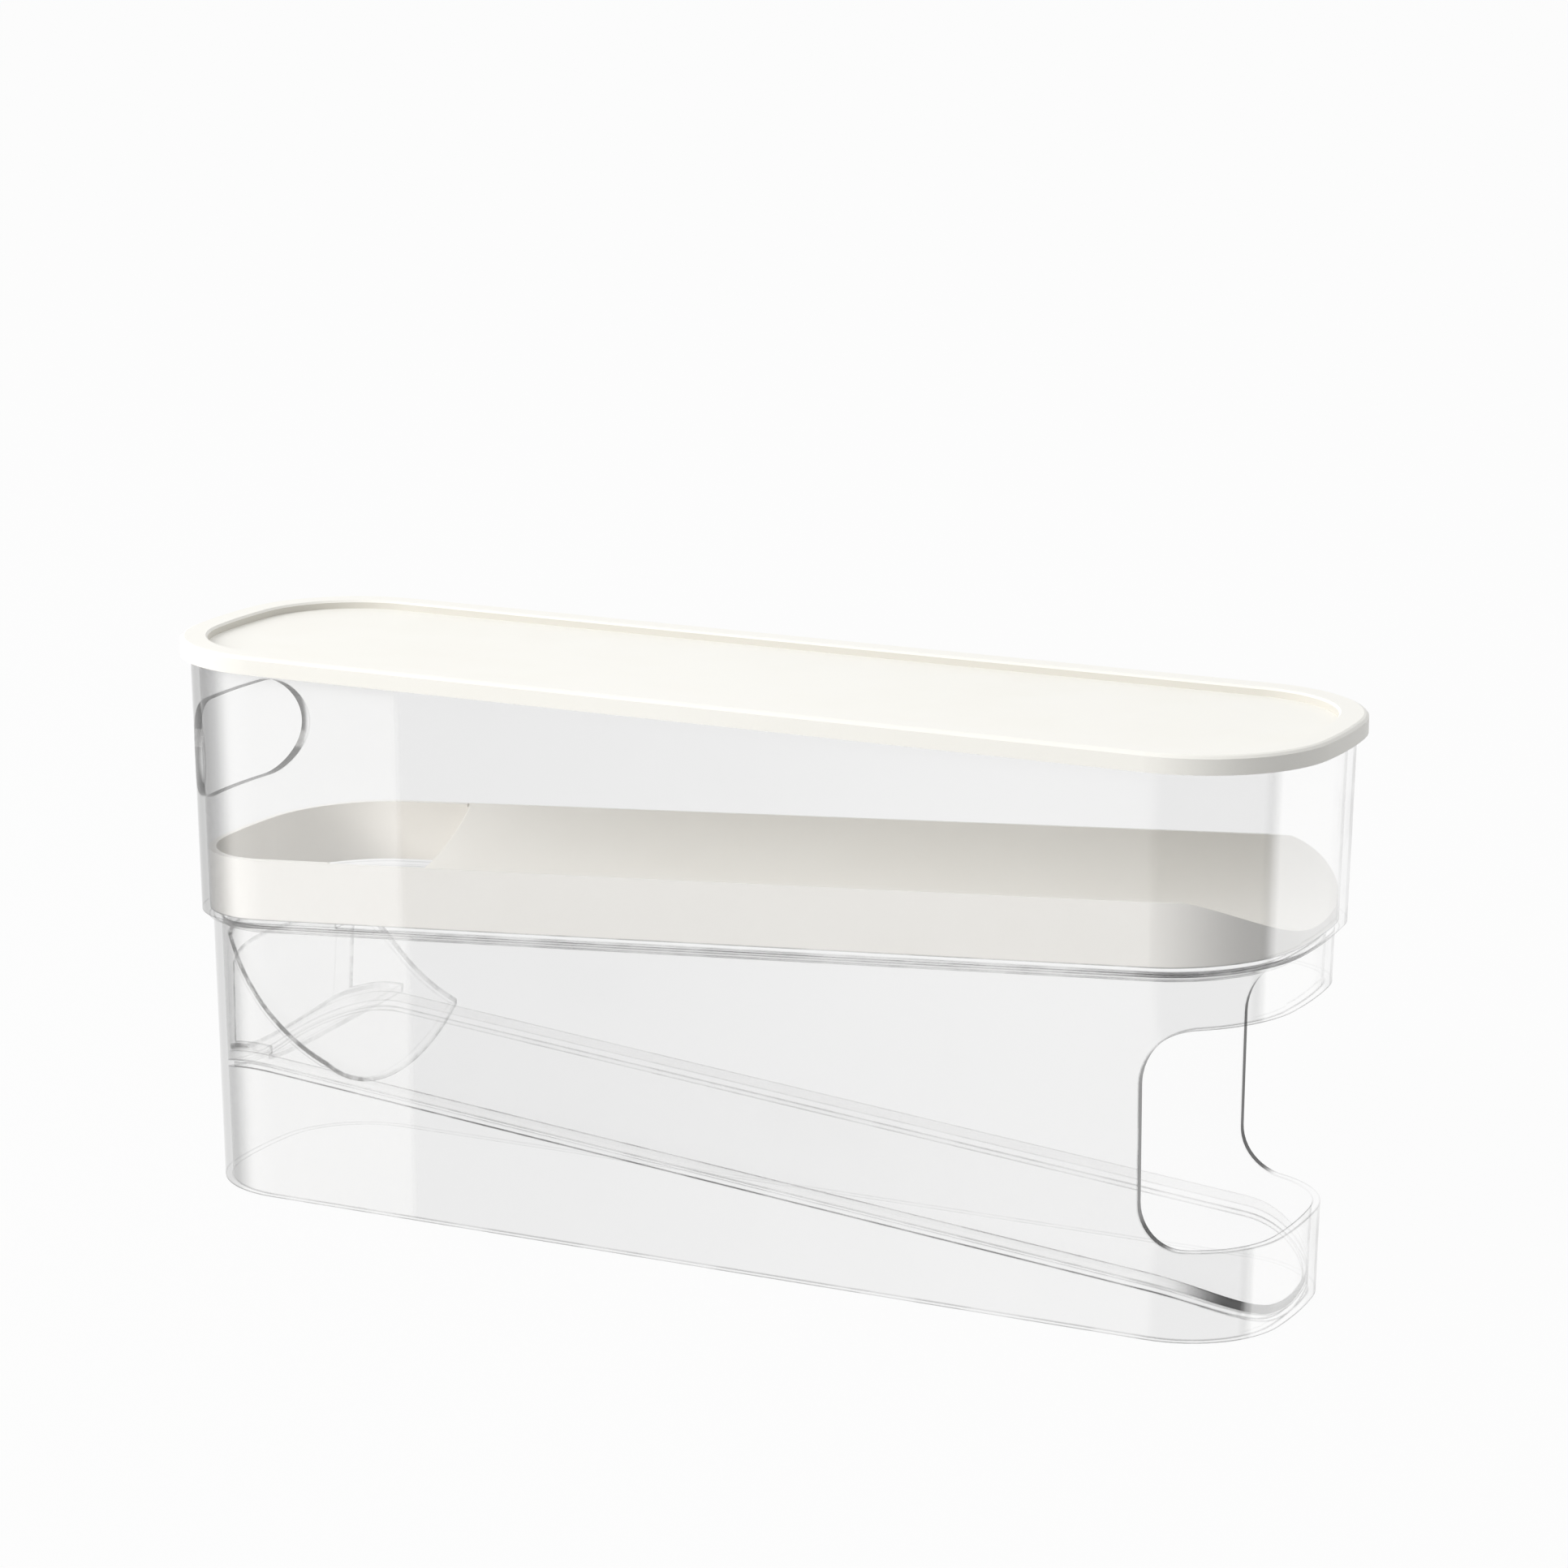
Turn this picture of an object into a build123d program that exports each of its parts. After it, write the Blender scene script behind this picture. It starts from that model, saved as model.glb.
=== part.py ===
from build123d import *
import math
import os

# Two-tier rolling dispenser in millimetres. The origin is at the middle of the base, +X points to the
# dispensing end, +Z is up. The load rolls back along the tray, drops through the well at the rear and
# rolls forward along the ramp to the front lip.

# Overall size, over the lid
length = 340.0
width = 95.0
height = 158.0

# Plan outline of the lid: corner arcs tangent to the sides and to a flatter end arc
corner_radius = 37.0
end_radius = 143.0

# Moulded walls
wall = 2.2
draft_angle = 1.25

# Fits between the pieces
lid_gap = 0.6
stack_gap = 0.3
tray_gap = 0.5
ramp_gap = 0.4
seat_gap = 0.3

# Lid
lid_wall = 2.2
skirt_height = 5.1
recess_depth = 2.4
lid_edge_bevel = 0.9
lid_edge_step = 0.4
recess_edge_bevel = 0.6

# Upper box, with the height of its sloped floor at the middle of the length
upper_slope = 4.1
upper_floor_height = 91.1
upper_floor = 2.4
upper_corner_bevel = 2.0
locating_rib = 1.4
locating_rib_height = 2.0

# Finger hole through the rear end of the upper box, placed from the top
finger_hole_length = 57.6
finger_hole_height = 28.0
finger_hole_drop = 35.3

# Both lanes are dished to this radius, and the rear guide is part of a ball of it
lane_radius = 64.0

# Tray that lies on the floor of the upper box, with its well placed from the rear end
tray_wall = 2.0
tray_height = 17.1
tray_floor = 2.0
tray_lane_height = 3.1
well_length = 59.0
well_bevel = 1.0

# Lower box, with its opening placed from the front end
step_width = 3.1
opening_length = 40.0
lip_height = 24.8
band_height = 14.5
opening_top_round = 16.0
opening_bottom_round = 12.0
ledge_width = 1.6
ledge_height = 1.4

# Ramp that lies on the ledge of the lower box, with its lane's height under the front end
ramp_slope = -5.03
ramp_lane_height = 3.24
ramp_floor = 2.4

# Rear guide that stands on the ramp, with its gaps to the upper box and to the rear of the ramp's plan.
# The ball meets the back wall a little under the guide's top.
guide_wall = 2.0
guide_length = 56.0
guide_top_gap = 1.0
guide_back_gap = 1.7
guide_lip = 1.0
guide_foot = 9.0

# How far a cutter runs past what it cuts
overrun = 1.0

front_end = length / 2
rear_end = -length / 2
well_front = rear_end + well_length
draft = math.tan(math.radians(draft_angle))
rim_height = height - lid_wall
reach = 2 * length

# Insets from the lid's outline: outer faces of both boxes, and the free space inside each of them
box_inset = lid_wall + lid_gap
tray_inset = box_inset + wall + tray_gap
step_inset = box_inset + step_width
ramp_inset = step_inset + wall + ramp_gap
rib_inset = step_inset + wall + stack_gap
well_inset = rib_inset + locating_rib


def outline(inset):
    """Plan face of the lid's outline, drawn in by inset."""
    corner_y = width / 2 - corner_radius
    span = math.sqrt((end_radius - corner_radius) ** 2 - corner_y ** 2)
    end_x = length / 2 - end_radius
    corner_x = end_x + span
    turn = math.degrees(math.atan2(corner_y, span))
    corner = corner_radius - inset
    end = end_radius - inset
    side = width / 2 - inset
    edges = [
        CenterArc((end_x, 0), end, -turn, 2 * turn),
        CenterArc((corner_x, corner_y), corner, turn, 90 - turn),
        Line((corner_x, side), (-corner_x, side)),
        CenterArc((-corner_x, corner_y), corner, 90, 90 - turn),
        CenterArc((-end_x, 0), end, 180 - turn, 2 * turn),
        CenterArc((-corner_x, -corner_y), corner, 180 + turn, 90 - turn),
        Line((-corner_x, -side), (corner_x, -side)),
        CenterArc((corner_x, -corner_y), corner, 270, 90 - turn),
    ]
    return make_face(edges)


def straight_prism(inset, low, high):
    """Upright solid on the outline."""
    return extrude(Pos(0, 0, low) * outline(inset), high - low)


def drafted_prism(inset, margin=0):
    """Solid from the base to the rim that widens upwards; inset is measured at the rim."""
    levels = (-margin, rim_height + margin)
    faces = [Pos(0, 0, z) * outline(inset + draft * (rim_height - z)) for z in levels]
    return loft(faces, ruled=True)


def along_slope(slope):
    """Direction that runs forward along a slope."""
    angle = math.radians(slope)
    return Vector(math.cos(angle), 0, math.sin(angle))


def off_slope(slope):
    """Direction that points up off a slope."""
    angle = math.radians(slope)
    return Vector(-math.sin(angle), 0, math.cos(angle))


def floor_plane(rise):
    """Plane parallel to the upper floor's top, lifted by rise along its normal."""
    return Plane(origin=(0, 0, upper_floor_height), z_dir=off_slope(upper_slope)).offset(rise)


def underside_height(x):
    """Height of the upper box's underside at x."""
    angle = math.radians(upper_slope)
    return upper_floor_height + math.tan(angle) * x - upper_floor / math.cos(angle)


def ramp_height(x):
    """Height of the ramp's lane at x."""
    return ramp_lane_height + math.tan(math.radians(ramp_slope)) * (x - front_end)


def above(solid, plane):
    """The part of the solid on the plane's upper side."""
    return split(solid, bisect_by=plane, keep=Keep.TOP)


def below(solid, plane):
    """The part of the solid on the plane's lower side."""
    return split(solid, bisect_by=plane, keep=Keep.BOTTOM)


def ahead_of(x):
    """Block of all that lies on the dispensing side of x."""
    return Pos(x + reach / 2, 0, 0) * Box(reach, reach, reach)


def behind(x):
    """Block of all that lies on the rear side of x."""
    return Pos(x - reach / 2, 0, 0) * Box(reach, reach, reach)


def lane_rod(slope, lane_height, radius):
    """Long rod along a lane, whose lower side at the lane's radius is the rolling surface."""
    middle = Vector(0, 0, lane_height) + off_slope(slope) * lane_radius
    return Plane(origin=middle, z_dir=along_slope(slope)) * Cylinder(radius, reach)


def tray_rod(radius):
    """Rod of the upper lane."""
    rise = tray_lane_height / math.cos(math.radians(upper_slope))
    return lane_rod(upper_slope, upper_floor_height + rise, radius)


def ramp_rod(radius):
    """Rod of the lower lane."""
    return lane_rod(ramp_slope, ramp_height(0), radius)


def make_lid():
    """Shallow shell: skirt outside the upper box's rim, recessed top that plugs inside it."""
    plug_inset = box_inset + wall + lid_gap
    skirt_low = height - skirt_height
    recess_low = height - recess_depth
    lid = straight_prism(0, skirt_low, height)
    lid -= straight_prism(plug_inset + lid_wall, recess_low, height + overrun)
    lid = chamfer(lid.faces().sort_by(Axis.Z)[-1].inner_wires().edges(), recess_edge_bevel)
    for bevel in (lid_edge_bevel, lid_edge_step):
        lid = chamfer(lid.faces().sort_by(Axis.Z)[-1].outer_wire().edges(), bevel)
    channel = straight_prism(lid_wall, skirt_low - overrun, rim_height)
    channel -= straight_prism(plug_inset, recess_low - lid_wall, height)
    return lid - channel


def make_upper_box():
    """Clear tub with a floor that falls to the rear, a well in it and a finger hole behind."""
    underside = floor_plane(-upper_floor)
    box = above(drafted_prism(box_inset), underside)
    box = chamfer(box.faces().sort_by(Axis.Z)[0].edges(), upper_corner_bevel)
    box -= above(drafted_prism(box_inset + wall, overrun), floor_plane(0))
    rib = drafted_prism(rib_inset) - drafted_prism(well_inset, overrun)
    box += below(above(rib, floor_plane(-upper_floor - locating_rib_height)), underside)
    box -= below(drafted_prism(well_inset) & behind(well_front), floor_plane(overrun))
    hole = SlotOverall(finger_hole_length, finger_hole_height)
    hole_plane = Plane(origin=(-reach, 0, height - finger_hole_drop), x_dir=(0, 1, 0), z_dir=(1, 0, 0))
    return box - extrude(hole_plane * hole, reach)


def make_tray():
    """Dished lane on a skirt, open underneath, with a full ring of wall round the well."""
    inner = drafted_prism(tray_inset + tray_wall, overrun)
    tray = below(above(drafted_prism(tray_inset), floor_plane(0)), floor_plane(tray_height))
    tray -= tray_rod(lane_radius) & ahead_of(well_front)
    drop = tray_rod(lane_radius) + behind(well_front)
    drop = chamfer(drop.edges().filter_by(GeomType.ELLIPSE), well_bevel)
    tray -= inner & drop
    hollow = above(inner & ahead_of(well_front + tray_wall), floor_plane(-overrun))
    return tray - (hollow - tray_rod(lane_radius + tray_floor))


def make_lower_box():
    """Clear sleeve that stands on its rim, with the dispensing opening and a ledge for the ramp."""
    box = drafted_prism(step_inset) - drafted_prism(step_inset + wall, overrun)
    middle_of_wall = step_inset + wall / 2
    ledge = drafted_prism(middle_of_wall) - drafted_prism(step_inset + wall + ledge_width, overrun)
    ledge_top = lane_radius + ramp_floor + seat_gap
    ledge = below(ledge, floor_plane(-upper_floor - locating_rib_height - seat_gap))
    ledge &= ramp_rod(ledge_top + ledge_height) - ramp_rod(ledge_top)
    box = below(box + ledge, floor_plane(-upper_floor))
    start = front_end - opening_length
    finish = front_end + overrun
    opening = make_face(Polyline(
        (start, lip_height),
        (finish, lip_height),
        (finish, underside_height(finish) - band_height),
        (start, underside_height(start) - band_height),
        close=True,
    ))
    for end, corner_round in ((0, opening_bottom_round), (-1, opening_top_round)):
        corner = opening.vertices().group_by(Axis.X)[0].sort_by(Axis.Y)[end]
        opening = fillet(corner, corner_round)
    return box - extrude(Plane.XZ * opening, width, both=True)


def make_ramp():
    """Dished plate that fills the lower box's plan and falls to the front."""
    plan = below(drafted_prism(ramp_inset), floor_plane(-upper_floor))
    return plan & (ramp_rod(lane_radius + ramp_floor) - ramp_rod(lane_radius))


def make_guide():
    """Part of a ball's shell that runs into the ramp, on a round back wall with a foot."""
    top = underside_height(rear_end) - locating_rib_height - guide_top_gap
    rear = rear_end + ramp_inset + draft * (rim_height - top) + guide_back_gap + guide_wall
    lane = Vector(0, 0, ramp_height(0))
    meeting = Vector(rear, 0, top - guide_lip) - lane
    rise = meeting.dot(off_slope(ramp_slope))
    run = meeting.dot(along_slope(ramp_slope)) + math.sqrt(2 * lane_radius * rise - rise ** 2)
    middle = lane + along_slope(ramp_slope) * run + off_slope(ramp_slope) * lane_radius
    back = middle.X - rear
    centre = Pos(middle) * Rotation(90, 0, 0)
    column = Pos(middle.X, 0, 0)
    guide = below(drafted_prism(ramp_inset), Plane.XY.offset(top)) & behind(rear_end + guide_length)
    guide &= column * Cylinder(back + guide_wall, reach)
    guide &= ramp_rod(lane_radius - seat_gap)
    guide -= centre * Sphere(lane_radius)
    outer_ball = centre * Sphere(lane_radius + guide_wall)
    above_foot = column * Cylinder(back, reach) & ramp_rod(lane_radius - seat_gap - guide_wall)
    guide -= above_foot - outer_ball
    return guide - (column * Cylinder(back - guide_foot, reach) - outer_ball)


os.makedirs("parts", exist_ok=True)
pieces = {
    "lid": make_lid(),
    "upper_box": make_upper_box(),
    "tray": make_tray(),
    "lower_box": make_lower_box(),
    "ramp": make_ramp(),
    "rear_guide": make_guide(),
}
for name, piece in pieces.items():
    export_step(piece, f"parts/{name}.step")
    box = piece.bounding_box()
    print(name, len(piece.solids()), round(piece.volume), box.min, box.max)
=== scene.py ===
import math

import bpy
from mathutils import Euler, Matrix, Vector

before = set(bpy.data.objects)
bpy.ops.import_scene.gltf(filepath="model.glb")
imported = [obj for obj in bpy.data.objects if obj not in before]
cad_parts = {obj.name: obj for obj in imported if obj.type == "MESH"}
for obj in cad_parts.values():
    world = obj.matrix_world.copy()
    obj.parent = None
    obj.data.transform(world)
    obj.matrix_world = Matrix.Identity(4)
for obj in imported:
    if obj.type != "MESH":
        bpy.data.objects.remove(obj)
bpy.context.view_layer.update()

# Looks for the rolling dispenser: a cream lid, a white tray and clear moulded boxes on a pale studio floor.
# All lengths are in metres, in the frame of the CAD model.

# Places along the length where the painted reflection on the clear walls changes
REAR_STEP = -0.086
FLAT_SIDE_END = 0.132

# The near and far sides meet along a line across the plan, y = NEAR_SLANT * x
NEAR_SLANT = 0.125
NEAR_BLEND = 0.006

# Finger hole: how high it begins, and half its length
FINGER_HOLE_FOOT = 0.105
FINGER_HOLE_HALF = 0.0295

# Heights of the two edges that hands rub
LID_TOP = 0.158
TRAY_TOP = 0.118

# The rear guide's ball, and the fall of the lower lane and its height at the middle of the length
BALL_MIDDLE = (-0.0947, 0.0, 0.0908)
BALL_RADIUS = 0.064
LANE_FALL = math.radians(5.03)
LANE_HEIGHT = 0.0182

BLACK = (0.0, 0.0, 0.0, 1.0)
WHITE = (1.0, 1.0, 1.0, 1.0)
# Colours of the painted reflection on clear pieces, and of the painted dark refraction lines along their edges
REFLECTION_WHITE = (1.0, 1.0, 0.995, 1.0)
EDGE_REFRACTION_DARK = (0.03, 0.03, 0.03, 1.0)
POLISHED_IOR = 1.49
SATIN_IOR = 1.46

# Breaks in the painted dark refraction lines on polished edges, in grains per metre
LONG_DASHES = 70.0
SHORT_DASHES = 260.0

# Share of the painted haze and reflection on clear pieces that shadow rays and bounced light don't meet
SHARE_PASSED = 0.75


class Wire:
    """An output of a node in one material. Arithmetic on wires adds Math nodes."""

    def __init__(self, tree, socket=None):
        self.tree = tree
        self.socket = socket

    def node(self, kind, settings, inputs, output=0):
        """Adds any node: its settings first, then a value or a wire for each socket named."""
        made = self.tree.nodes.new("ShaderNode" + kind)
        for name, setting in settings.items():
            setattr(made, name, setting)
        for name, given in inputs.items():
            if isinstance(given, Wire):
                self.tree.links.new(given.socket, made.inputs[name])
            else:
                made.inputs[name].default_value = given
        return Wire(self.tree, made.outputs[output]) if made.outputs else None

    def math(self, operation, *numbers):
        """A Math node on these numbers and wires."""
        return self.node("Math", {"operation": operation}, dict(enumerate(numbers)))

    def __add__(self, other):
        return self.math("ADD", self, other)

    def __radd__(self, other):
        return self.math("ADD", other, self)

    def __sub__(self, other):
        return self.math("SUBTRACT", self, other)

    def __rsub__(self, other):
        return self.math("SUBTRACT", other, self)

    def __mul__(self, other):
        return self.math("MULTIPLY", self, other)

    def __rmul__(self, other):
        return self.math("MULTIPLY", other, self)

    def __abs__(self):
        return self.math("ABSOLUTE", self)

    def parts(self):
        """The three numbers of a vector."""
        return [Wire(self.tree, end) for end in self.node("SeparateXYZ", {}, {0: self}).socket.node.outputs]

    def rise(self, low, high):
        """Runs smoothly from 0 at low to 1 at high."""
        return self.node("MapRange", {"interpolation_type": "SMOOTHSTEP"}, {0: self, 1: low, 2: high})

    def fall(self, low, high):
        """Runs smoothly from 1 at low to 0 at high."""
        return 1.0 - self.rise(low, high)

    def band(self, low, high, soft):
        """1 between low and high, with soft ends inside them, else 0."""
        return self.rise(low, low + soft) * self.fall(high - soft, high)

    def mix(self, first, second):
        """A colour between two colours, by this wire."""
        return self.node("Mix", {"data_type": "RGBA"}, {0: self, 6: first, 7: second}, 2)


def finish(name):
    """A new material with its nodes cleared, as a wire to build from."""
    material = bpy.data.materials.new(name)
    material.use_nodes = True
    material.node_tree.nodes.clear()
    return material, Wire(material.node_tree)


def close(surface, shader):
    """Joins the last shader to the material's output."""
    surface.node("OutputMaterial", {}, {"Surface": shader})


def speckle(where, scale):
    """Even noise, with scale in grains per metre."""
    return where.node("TexNoise", {}, {"Vector": where, "Scale": scale, "Detail": 3.0})


def position(surface):
    """Where a point is on its piece, as a vector."""
    return surface.node("TexCoord", {}, {}, 3)


def direction(surface):
    """The three numbers of the way that a point faces."""
    return surface.node("TexCoord", {}, {}, 1).parts()


def faces_out(x, y, nx, ny):
    """1 where a wall faces out from the middle of the plan, else 0."""
    spread = x * nx + y * ny
    return spread.math("GREATER_THAN", spread, 0.0)


def near_side(x, y):
    """1 on the near side of the object, 0 on the far side."""
    return (y - x * NEAR_SLANT).fall(-NEAR_BLEND, NEAR_BLEND)


def turned_away(surface):
    """0 where the surface faces the eye, 1 where it is seen edge on."""
    return surface.node("LayerWeight", {}, {"Blend": 0.5}, 1)


def moulded_satin(name, colour, shade, painted_shade_colour, worn_height):
    """Opaque injection-moulded plastic: spark-eroded grain, slow colour drift, rubbed edges, and painted shade
    that makes inner walls darker and warmer.
    """
    material, surface = finish(name)
    where = position(surface)
    x, y, z = where.parts()
    nx, ny, nz = direction(surface)
    grain = speckle(where, 2600.0)
    cloud = speckle(where, 60.0)
    drift = (speckle(where, 9.0) * 0.6 + cloud * 0.4).rise(0.30, 0.72)
    rubbed = z.rise(worn_height - 0.002, worn_height) * cloud.rise(0.45, 0.7)
    roughness = 0.42 + (grain - 0.5) * 0.12 - rubbed * 0.08
    bump = surface.node("Bump", {}, {"Strength": 0.12, "Distance": 0.0002, "Height": grain + cloud * 0.4})
    # Painted shade: walls that face inwards, such as the wall of the lid's recess, are painted darker and warmer
    # where shade falls
    painted_inner_shade = (1.0 - faces_out(x, y, nx, ny)) * abs(nz).fall(0.3, 0.8)
    shader = surface.node("BsdfPrincipled", {}, {
        "Base Color": painted_inner_shade.mix(drift.mix(colour, shade), painted_shade_colour),
        "Roughness": roughness, "Normal": bump, "IOR": SATIN_IOR, "Specular IOR Level": 0.4})
    close(surface, shader)
    return material


def edge_lines(surface, width):
    """1 along the sharp edges of a piece, within about the width, else 0."""
    rounded = surface.node("Bevel", {"samples": 2}, {"Radius": width})
    flat = surface.node("NewGeometry", {}, {}, 1)
    agreement = surface.node("VectorMath", {"operation": "DOT_PRODUCT"}, {0: rounded, 1: flat}, 1)
    return (1.0 - agreement).rise(0.003, 0.03)


def polish(surface, where, haze_and_reflection, tone, line, dashes, gleam=None, cut=None):
    """Closes a clear finish: painted haze and reflection of some strength and tone, mirror-bright by gleam, with
    broken painted dark refraction lines and painted dark cut faces.
    """
    smear = speckle(where, 24.0)
    flow = surface.node("TexWave", {"wave_type": "BANDS", "bands_direction": "X"},
                        {"Vector": where, "Scale": 14.0, "Distortion": 5.0, "Detail": 2.0})
    bump = surface.node("Bump", {}, {"Strength": 0.03, "Distance": 0.0004, "Height": flow * 0.5 + smear})
    smudge = smear.rise(0.5, 0.8)
    roughness = 0.06 + speckle(where, 900.0) * 0.03 + smudge * 0.05
    drawn = line * (0.5 + 0.5 * speckle(where, dashes).rise(0.38, 0.60))
    if cut:
        drawn = drawn + cut
    strength = haze_and_reflection + smudge * 0.006 + drawn
    shadow_ray = surface.node("LightPath", {}, {}, 1)
    bounced_ray = surface.node("LightPath", {}, {}, 2)
    alpha = strength * (1.0 - SHARE_PASSED * (shadow_ray + bounced_ray))
    share = drawn.math("DIVIDE", drawn, strength)
    # Base colour runs from the painted reflection's tone to the painted dark refraction lines
    shader = surface.node("BsdfPrincipled", {}, {
        "Base Color": share.mix(tone.mix(BLACK, REFLECTION_WHITE), EDGE_REFRACTION_DARK), "Alpha": alpha,
        "Metallic": gleam * (1.0 - share) if gleam else 0.0,
        "Roughness": roughness, "Normal": bump, "IOR": POLISHED_IOR})
    close(surface, shader)


def clear_wall(name, rear_shade, has_opening):
    """Clear walls of a box with painted reflection: pale at the rear, grey along the flat side, a painted
    highlight round the near front corner.
    """
    material, surface = finish(name)
    where = position(surface)
    x, y, z = where.parts()
    nx, ny, nz = direction(surface)
    outward = faces_out(x, y, nx, ny)
    near = near_side(x, y)
    upright = abs(nz).fall(0.2, 0.6)
    rear_part = x.fall(REAR_STEP - 0.0006, REAR_STEP + 0.0006) * near
    front_corner = nx.rise(0.03, 0.12)
    bright_corner = nx.rise(0.80, 0.88) * near
    far_front = x.rise(0.120, 0.128) * (1.0 - near)
    along = x.rise(REAR_STEP, FLAT_SIDE_END)

    # Painted haze and reflection: how strongly each zone of the wall shows, and how pale it is there
    zones = 0.180 - 0.112 * near + 0.08 * rear_part + 0.27 * bright_corner - 0.14 * far_front
    haze_and_reflection = outward * upright * zones + 0.010
    side_tone = (1.0 - rear_part) * (along * 0.42 + 0.04) * (1.0 - front_corner)
    tone = rear_part * 0.80 + side_tone + bright_corner

    # Painted shade where a wall turns away: it darkens, most of all at the rear end, and a painted dark line runs
    # along the front rim
    away = turned_away(surface)
    rearward = nx.fall(-0.3, 0.3)
    glance = away.rise(0.27, 0.90) * (rearward * (rear_shade - 0.04) + 0.04) * upright
    toned = tone * (1.0 - glance.rise(0.0, 0.12) * rearward * 0.85)
    front_rim = away.rise(0.70, 0.90) * (1.0 - rearward) * outward * upright * 0.42

    # Cut faces of the dispensing opening, or of the finger hole, painted dark as refraction
    if has_opening:
        cut = abs(ny).fall(0.02, 0.06) * abs(y).rise(0.016, 0.020) * nx.rise(0.1, 0.5)
    else:
        cut = abs(nx).fall(0.1, 0.3) * x.fall(-0.160, -0.158)
        cut = cut * abs(y).fall(FINGER_HOLE_HALF - 0.0005, FINGER_HOLE_HALF + 0.0005)
        cut = cut * z.rise(FINGER_HOLE_FOOT - 0.001, FINGER_HOLE_FOOT + 0.001)

    # Painted dark refraction lines along sharp edges and the rolled bottom edges, darker on the near side and at
    # both ends
    both_ends = abs(x).rise(0.115, 0.145)
    rolled_edge = abs(nz + 0.7).fall(0.1, 0.2) * both_ends * 0.7
    edges = edge_lines(surface, 0.0007) * (0.25 + 0.65 * near) * (0.92 + 0.38 * both_ends)
    polish(surface, where, haze_and_reflection + (1.0 - haze_and_reflection) * glance * outward, toned,
           edges + rolled_edge + front_rim, LONG_DASHES, bright_corner, cut * 0.95)
    return material


def clear_plate(name):
    """Clear dished plate: nearly unseen, with a painted pale reflection on its side edge and painted dark
    refraction on its front edge.
    """
    material, surface = finish(name)
    where = position(surface)
    x, y, z = where.parts()
    nx, ny, nz = direction(surface)
    side_edge = abs(ny).rise(0.75, 0.95) * abs(y).rise(0.030, 0.034)
    front_edge = nx.rise(0.10, 0.75) * x.rise(0.125, 0.15)
    haze_and_reflection = 0.012 + turned_away(surface).rise(0.55, 0.95) * 0.03 + side_edge * 0.16
    edges = edge_lines(surface, 0.0006) * (0.12 + 0.55 * near_side(x, y))
    polish(surface, where, haze_and_reflection, 0.35 + side_edge * 0.5, edges, LONG_DASHES, side_edge * 0.5, front_edge * 0.92)
    return material


def clear_shell(name):
    """Clear curved guide: unseen but for painted dark refraction lines along its edges, the rim of its ball and
    the foot along the ramp, with painted shade that is lighter where it faces up.
    """
    material, surface = finish(name)
    where = position(surface)
    x, y, z = where.parts()
    nx, ny, nz = direction(surface)
    haze_and_reflection = 0.010 + turned_away(surface).rise(0.6, 0.98) * 0.08

    # The rim is a painted dark refraction line inside the thickness of the ball's shell
    shell = where.node("VectorMath", {"operation": "DISTANCE"}, {0: where, 1: BALL_MIDDLE}, 1) - BALL_RADIUS
    rim = shell.band(0.0001, 0.0014, 0.0003)

    # The foot's painted dark line keeps its distance from the axis of the lower lane
    below_axis = BALL_RADIUS - x * math.sin(LANE_FALL) - (z - LANE_HEIGHT) * math.cos(LANE_FALL)
    from_axis = shell.math("SQRT", y * y + below_axis * below_axis)
    foot = from_axis.band(0.0621, 0.0635, 0.0003) * x.fall(-0.145, -0.135)

    line = (edge_lines(surface, 0.0010) * 0.75 + rim + foot) * (0.25 + 0.75 * near_side(x, y))
    # Painted shade: the haze is lighter where the guide faces up
    polish(surface, where, haze_and_reflection, 0.4 + nz * 0.1, line * 0.9, SHORT_DASHES)
    return material


def seen_directly(surface):
    """1 where a ray comes from the camera, a gloss or a clear body, else 0."""
    camera = surface.node("LightPath", {}, {}, 0)
    gloss = surface.node("LightPath", {}, {}, 3)
    through = surface.node("LightPath", {}, {}, 6)
    return camera.math("MAXIMUM", camera, gloss.math("MAXIMUM", gloss, through))


def studio_white(name, glow):
    """Pale floor that is nearly white to the camera by its glow, and keeps a soft shadow."""
    material, surface = finish(name)
    paper = speckle(position(surface), 40.0).mix((0.50, 0.50, 0.50, 1.0), (0.48, 0.48, 0.48, 1.0))
    lit = surface.node("BsdfPrincipled", {}, {"Base Color": paper, "Roughness": 0.9})
    glowing = surface.node("Emission", {}, {"Color": WHITE, "Strength": 1.0})
    shader = surface.node("MixShader", {}, {0: seen_directly(surface) * glow, 1: lit, 2: glowing})
    close(surface, shader)
    return material


def dress():
    """Gives each CAD node its finish."""
    # The third colour of each finish is the painted shade on its inner walls
    cream = moulded_satin("cream_lid_plastic", (0.960, 0.950, 0.905, 1.0), (0.940, 0.926, 0.872, 1.0),
                          (0.72, 0.70, 0.645, 1.0), LID_TOP)
    white = moulded_satin("white_tray_plastic", (0.965, 0.952, 0.925, 1.0), (0.950, 0.934, 0.902, 1.0),
                          (0.93, 0.905, 0.86, 1.0), TRAY_TOP)
    looks = {
        "lid": cream,
        "tray": white,
        "upper_box": clear_wall("clear_upper_box", 0.62, False),
        "lower_box": clear_wall("clear_lower_box", 0.33, True),
        "ramp": clear_plate("clear_ramp"),
        "rear_guide": clear_shell("clear_rear_guide"),
    }
    for node, material in looks.items():
        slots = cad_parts[node].data.materials
        slots.clear()
        slots.append(material)


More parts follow.
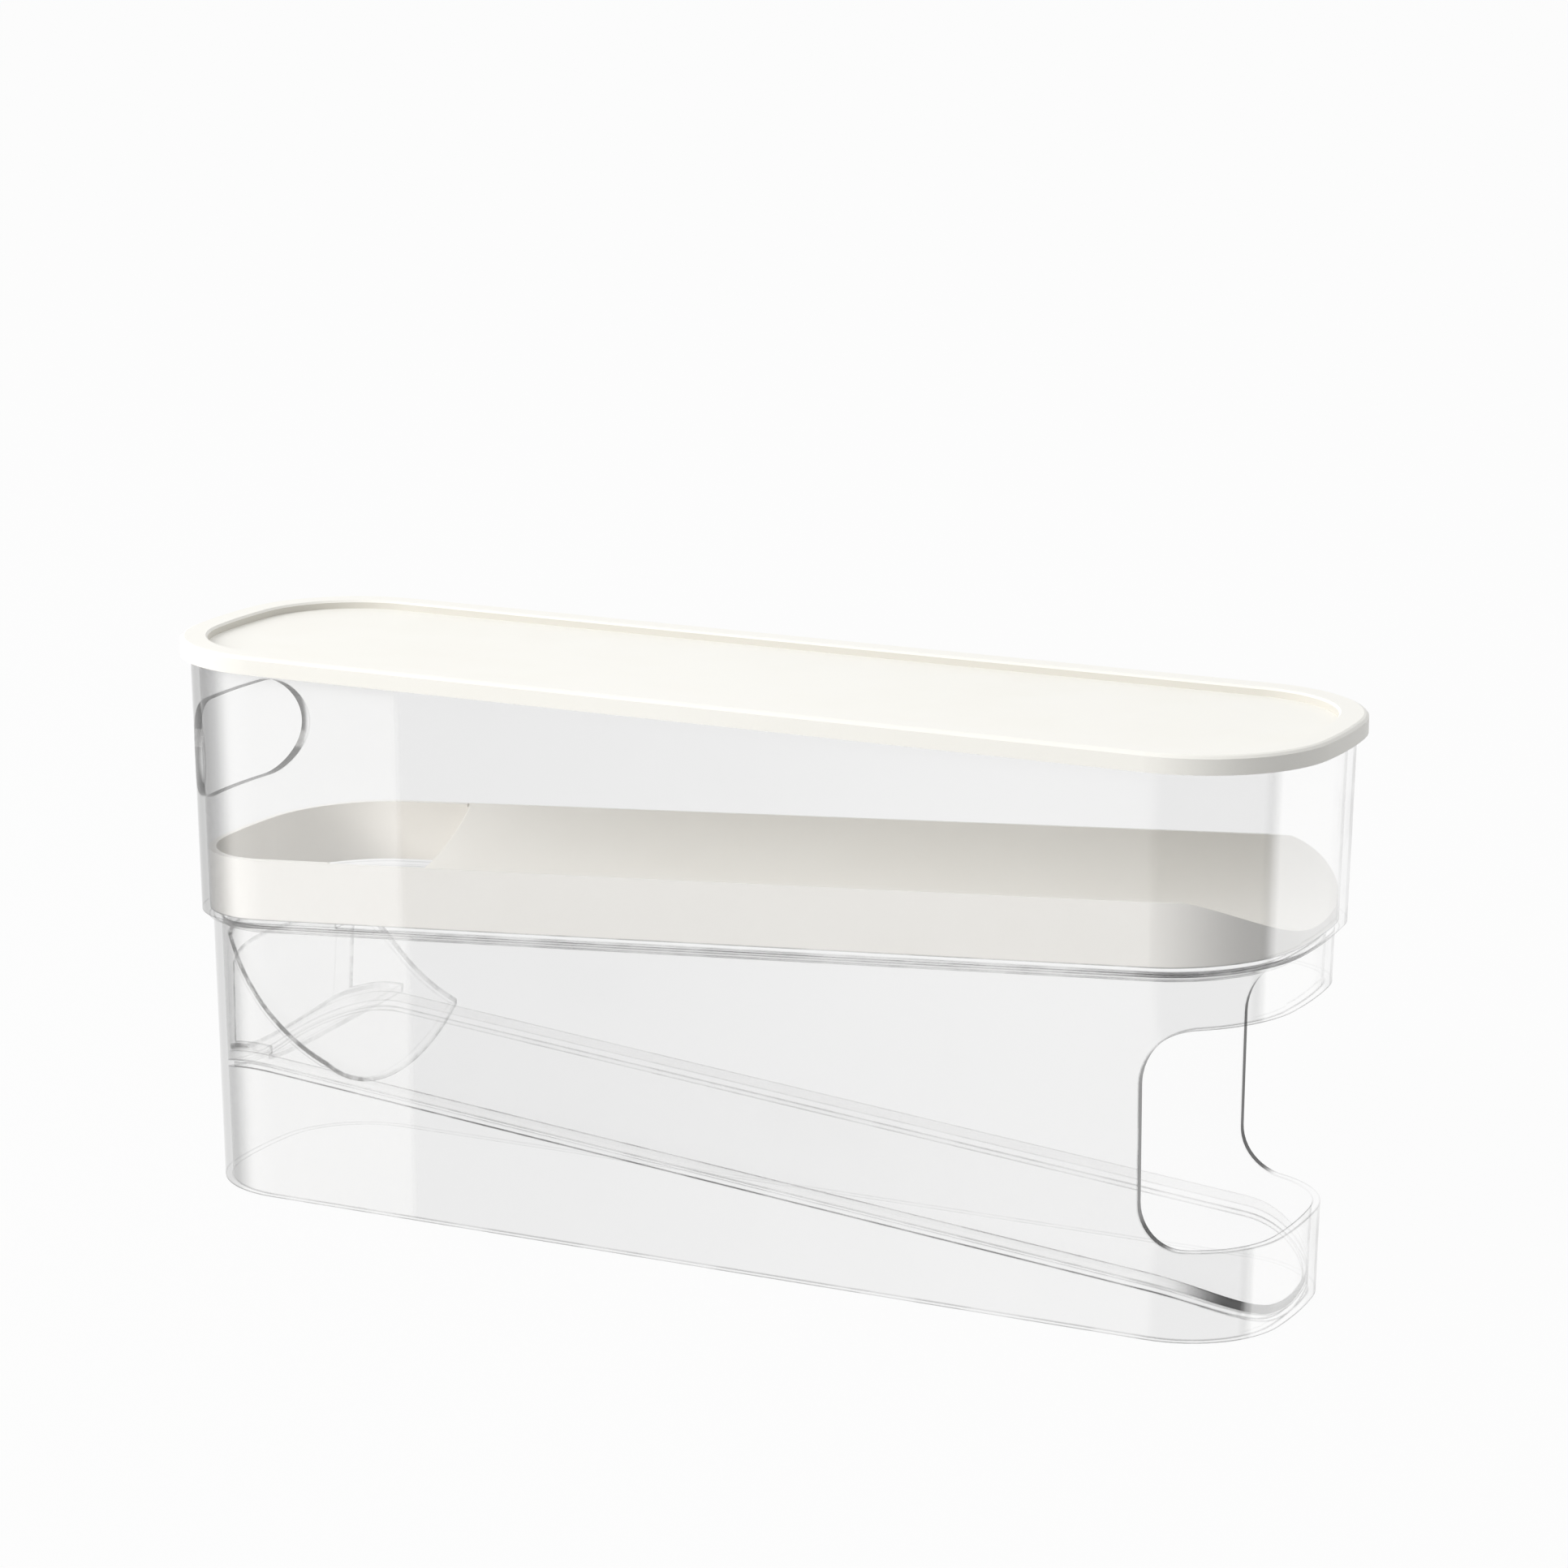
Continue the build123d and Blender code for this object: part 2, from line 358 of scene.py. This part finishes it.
def lay_floor():
    """Wide pale floor just under the object."""
    bpy.ops.object.select_all(action="DESELECT")
    bpy.ops.mesh.primitive_plane_add(size=14.0, location=(0.0, 2.0, -0.0002))
    floor = bpy.context.object
    floor.name = "studio_floor"
    floor.data.materials.append(studio_white("studio_floor_white", 0.955))


def light_room():
    """Soft room: brighter above and low behind, darker low at the near front, and white where it is seen."""
    world = bpy.data.worlds.new("studio_room")
    bpy.context.scene.world = world
    world.use_nodes = True
    world.node_tree.nodes.clear()
    room = Wire(world.node_tree)
    x, y, z = room.node("TexCoord", {}, {}, 0).parts()
    near_front = (x * 0.71 - y * 0.71).rise(0.2, 0.95)
    behind = y.rise(-0.1, 0.8)
    high = z.rise(0.0, 0.9)
    low = 1.0 - high
    level = 0.42 + 0.36 * high - 0.42 * near_front * low + 0.55 * behind * low
    soft = room.node("Background", {}, {"Color": level.mix(BLACK, WHITE), "Strength": 1.0})
    white = room.node("Background", {}, {"Color": WHITE, "Strength": 0.98})
    shader = room.node("MixShader", {}, {0: seen_directly(room), 1: soft, 2: white})
    room.node("OutputWorld", {}, {"Surface": shader})


def hang_lamp(name, place, target, size, power, colour):
    """Soft square lamp that points at a target."""
    data = bpy.data.lights.new(name, "AREA")
    data.shape = "SQUARE"
    data.size = size
    data.energy = power
    data.color = colour
    lamp = bpy.data.objects.new(name, data)
    bpy.context.collection.objects.link(lamp)
    lamp.location = place
    lamp.rotation_euler = (Vector(target) - Vector(place)).to_track_quat("-Z", "Y").to_euler()


def place_camera():
    """Camera where the photograph was taken from, as fitted to the object's outlines."""
    data = bpy.data.cameras.new("view")
    data.sensor_width = 36.0
    data.lens = 109.76
    data.shift_x = 0.0492
    data.shift_y = -0.0026
    camera = bpy.data.objects.new("view", data)
    bpy.context.collection.objects.link(camera)
    camera.location = (0.5574, -1.1382, 0.4226)
    camera.rotation_euler = Euler((math.pi / 2 - 0.229, 0.0, 0.465))
    bpy.context.scene.camera = camera


dress()
lay_floor()
light_room()
hang_lamp("key", (-1.5, -1.65, 1.2), (0.0, 0.0, 0.08), 1.4, 44.5, (1.0, 0.99, 0.97))
place_camera()

bpy.context.scene.view_settings.view_transform = "Standard"

# Enough for the many clear walls that lie behind each other
bpy.context.scene.cycles.transparent_max_bounces = 32
